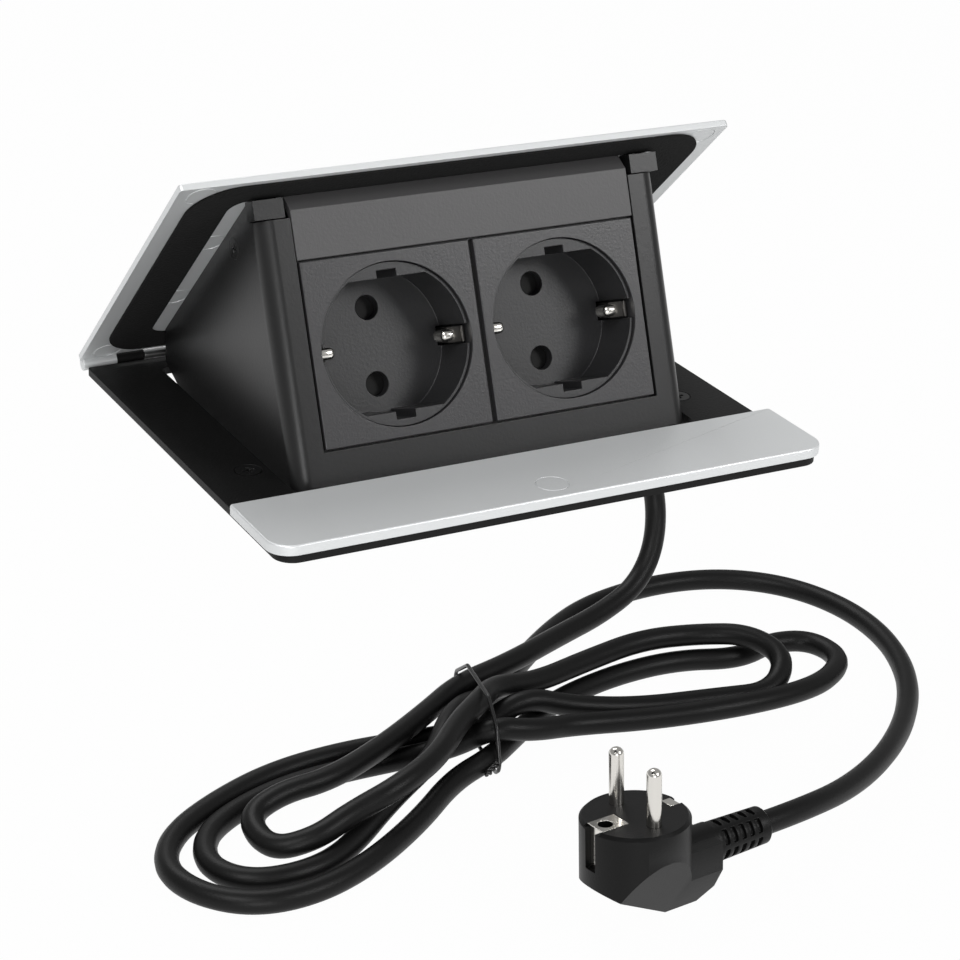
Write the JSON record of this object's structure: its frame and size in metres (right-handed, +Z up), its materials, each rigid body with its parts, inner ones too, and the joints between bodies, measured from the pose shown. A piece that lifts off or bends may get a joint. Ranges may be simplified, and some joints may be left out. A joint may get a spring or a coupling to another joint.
{
  "type": "pop-up desk socket",
  "caption": "Flush-mount flip-up desk socket with a hinged lid unit that carries earthed socket outlets, push latch, and a tied supply cord with an angled plug.",
  "frame": {"origin": "middle of the flange's underside, on the desk's top face", "axes": "+Z up from the desk, +Y towards the hinge at the rear, +X to the right as seen from the front"},
  "size_m": [0.3517, 0.296, 0.2709],
  "materials": {
    "black_sheet": "satin black powder coat",
    "lid_sheet": "satin silver lacquer",
    "strip_sheet": "satin silver lacquer",
    "black_plastic": "satin black moulding",
    "socket_plastic": "satin black moulding",
    "inner_plastic": "dark moulding",
    "shutter_plastic": "dark moulding",
    "foam": "closed-cell foam",
    "screw_steel": "blackened steel",
    "bright_steel": "bright zinc-plated steel",
    "spring_steel": "spring steel",
    "contact_brass": "brass",
    "nickel": "nickel plate",
    "cord_black": "satin black cord sheath",
    "plug_black": "satin black moulding",
    "line_brown": "brown insulation",
    "neutral_blue": "blue insulation",
    "earth_green": "green and yellow insulation",
    "tie_black": "coated wire"
  },
  "bodies": {
    "flange": {"flange_plate": "black_sheet", "front_strip": "strip_sheet", "fixing_screws": "screw_steel", "strip_screws": "screw_steel", "hinge_pins": "bright_steel", "latch_springs": "spring_steel", "cord_lead": "cord_black", "cord_hank": "cord_black", "cord_tail": "cord_black", "cord_tie": "tie_black", "plug_body": "plug_black", "plug_strain_relief": "plug_black", "plug_pins": "nickel", "plug_earth_contact": "nickel"},
    "lid_unit": {"left_hinge_spring": "spring_steel", "right_hinge_spring": "spring_steel", "lid_plate": "lid_sheet", "lid_gasket": "foam", "housing_shell": "black_plastic", "bottom_cover": "black_plastic", "cover_screws": "screw_steel", "module_frame": "inner_plastic", "header_bar": "black_plastic", "left_lid_rail": "black_plastic", "right_lid_rail": "black_plastic", "rail_screws": "screw_steel", "side_screws": "bright_steel", "cord_gland": "plug_black", "gland_nut": "inner_plastic", "line_wires": "line_brown", "neutral_wires": "neutral_blue", "earth_wires": "earth_green", "left_socket_cover": "socket_plastic", "left_socket_insert": "socket_plastic", "left_shutter_spring": "spring_steel", "left_contact_carrier": "inner_plastic", "left_line_contact": "contact_brass", "left_neutral_contact": "contact_brass", "left_earth_strap": "nickel", "right_socket_cover": "socket_plastic", "right_socket_insert": "socket_plastic", "right_shutter_spring": "spring_steel", "right_contact_carrier": "inner_plastic", "right_line_contact": "contact_brass", "right_neutral_contact": "contact_brass", "right_earth_strap": "nickel"},
    "release_button": {"release_button": "strip_sheet"},
    "latch_slide": {"latch_slide": "bright_steel"},
    "left_shutter": {"left_shutter": "shutter_plastic"},
    "right_shutter": {"right_shutter": "shutter_plastic"}
  },
  "joints": [
    {"name": "lid_hinge", "type": "hinge", "parent": "flange", "child": "lid_unit", "pos_m": [0, 0.0653, 0.0024], "axis": [1, 0, 0], "range_deg": [0, 42.84], "stiffness_Nm_per_rad": 0.25, "springref_deg": -68.75, "deforming": ["cord_lead", "left_hinge_spring", "right_hinge_spring"]},
    {"name": "button_press", "type": "slide", "parent": "flange", "child": "release_button", "axis": [0, 0, 1], "range_m": [-0.0012, 0], "stiffness_N_per_m": 400, "springref_m": 0.0005},
    {"name": "latch_travel", "type": "slide", "parent": "flange", "child": "latch_slide", "axis": [0, 1, 0], "range_m": [-0.0012, 0], "stiffness_N_per_m": 300, "springref_m": 0.0005, "deforming": ["latch_springs"]},
    {"name": "left_shutter_slide", "type": "slide", "parent": "lid_unit", "child": "left_shutter", "axis": [1, 0, 0], "range_m": [0, 0.0066], "stiffness_N_per_m": 60, "springref_m": -0.004, "deforming": ["left_shutter_spring"]},
    {"name": "right_shutter_slide", "type": "slide", "parent": "lid_unit", "child": "right_shutter", "axis": [1, 0, 0], "range_m": [0, 0.0066], "stiffness_N_per_m": 60, "springref_m": -0.004, "deforming": ["right_shutter_spring"]}
  ],
  "couplings": [
    {"joint": "latch_travel", "follows": "button_press", "ratio": 1}
  ]
}
